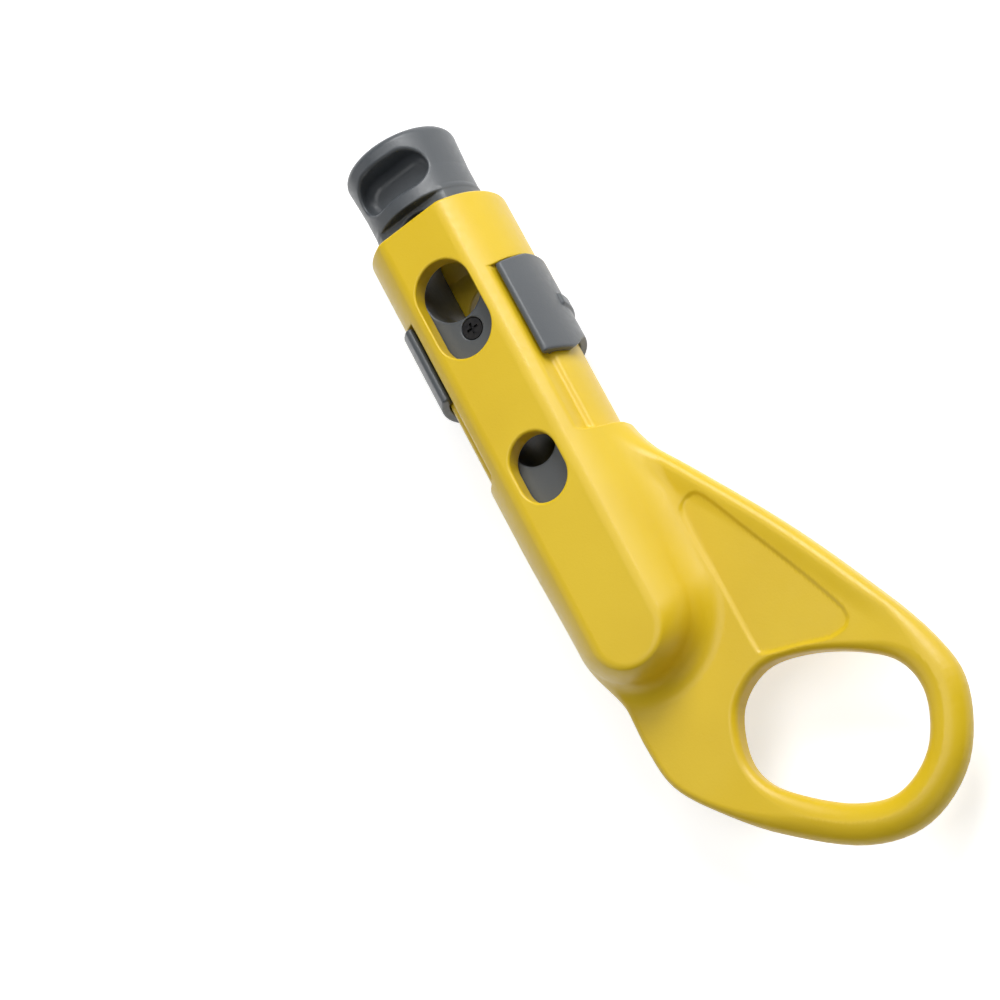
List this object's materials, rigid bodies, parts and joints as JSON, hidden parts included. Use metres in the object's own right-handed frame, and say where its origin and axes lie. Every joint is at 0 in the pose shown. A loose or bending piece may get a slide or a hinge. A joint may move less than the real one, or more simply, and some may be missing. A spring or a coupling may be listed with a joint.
{
  "type": "coaxial cable stripper",
  "caption": "Hand tool with a flat-sided sleeve, cable ports, a sprung blade plunger, a sliding cable stop and a finger loop for spinning it round a coaxial cable.",
  "frame": {"origin": "middle of the flat back face of the lower housing, which the tool lies on", "axes": "+Z out of the front face, +Y along the sleeve towards the plunger's cap, +X towards the finger loop"},
  "size_m": [0.0586, 0.1569, 0.0231],
  "materials": {
    "yellow_plastic": "satin moulded",
    "grey_plastic": "satin moulded",
    "blade_steel": "ground",
    "spring_steel": "drawn wire",
    "black_screw": "black oxide"
  },
  "bodies": {
    "housing": {"body": "yellow_plastic", "return_spring": "spring_steel"},
    "plunger": {"plunger": "grey_plastic", "large_jacket_blade": "blade_steel", "large_core_blade": "blade_steel", "large_blade_spacer": "grey_plastic", "large_blade_screw": "black_screw", "small_jacket_blade": "blade_steel", "small_core_blade": "blade_steel", "small_blade_spacer": "grey_plastic", "small_blade_screw": "black_screw"},
    "cable_stop": {"cable_stop": "grey_plastic"}
  },
  "joints": [
    {"name": "plunger_press", "type": "slide", "parent": "housing", "child": "plunger", "axis": [0, -1, 0], "range_m": [0, 0.0085], "stiffness_N_per_m": 400, "springref_m": -0.006, "deforming": ["return_spring"]},
    {"name": "stop_slide", "type": "slide", "parent": "housing", "child": "cable_stop", "axis": [0, -1, 0], "range_m": [0, 0.0144]}
  ]
}
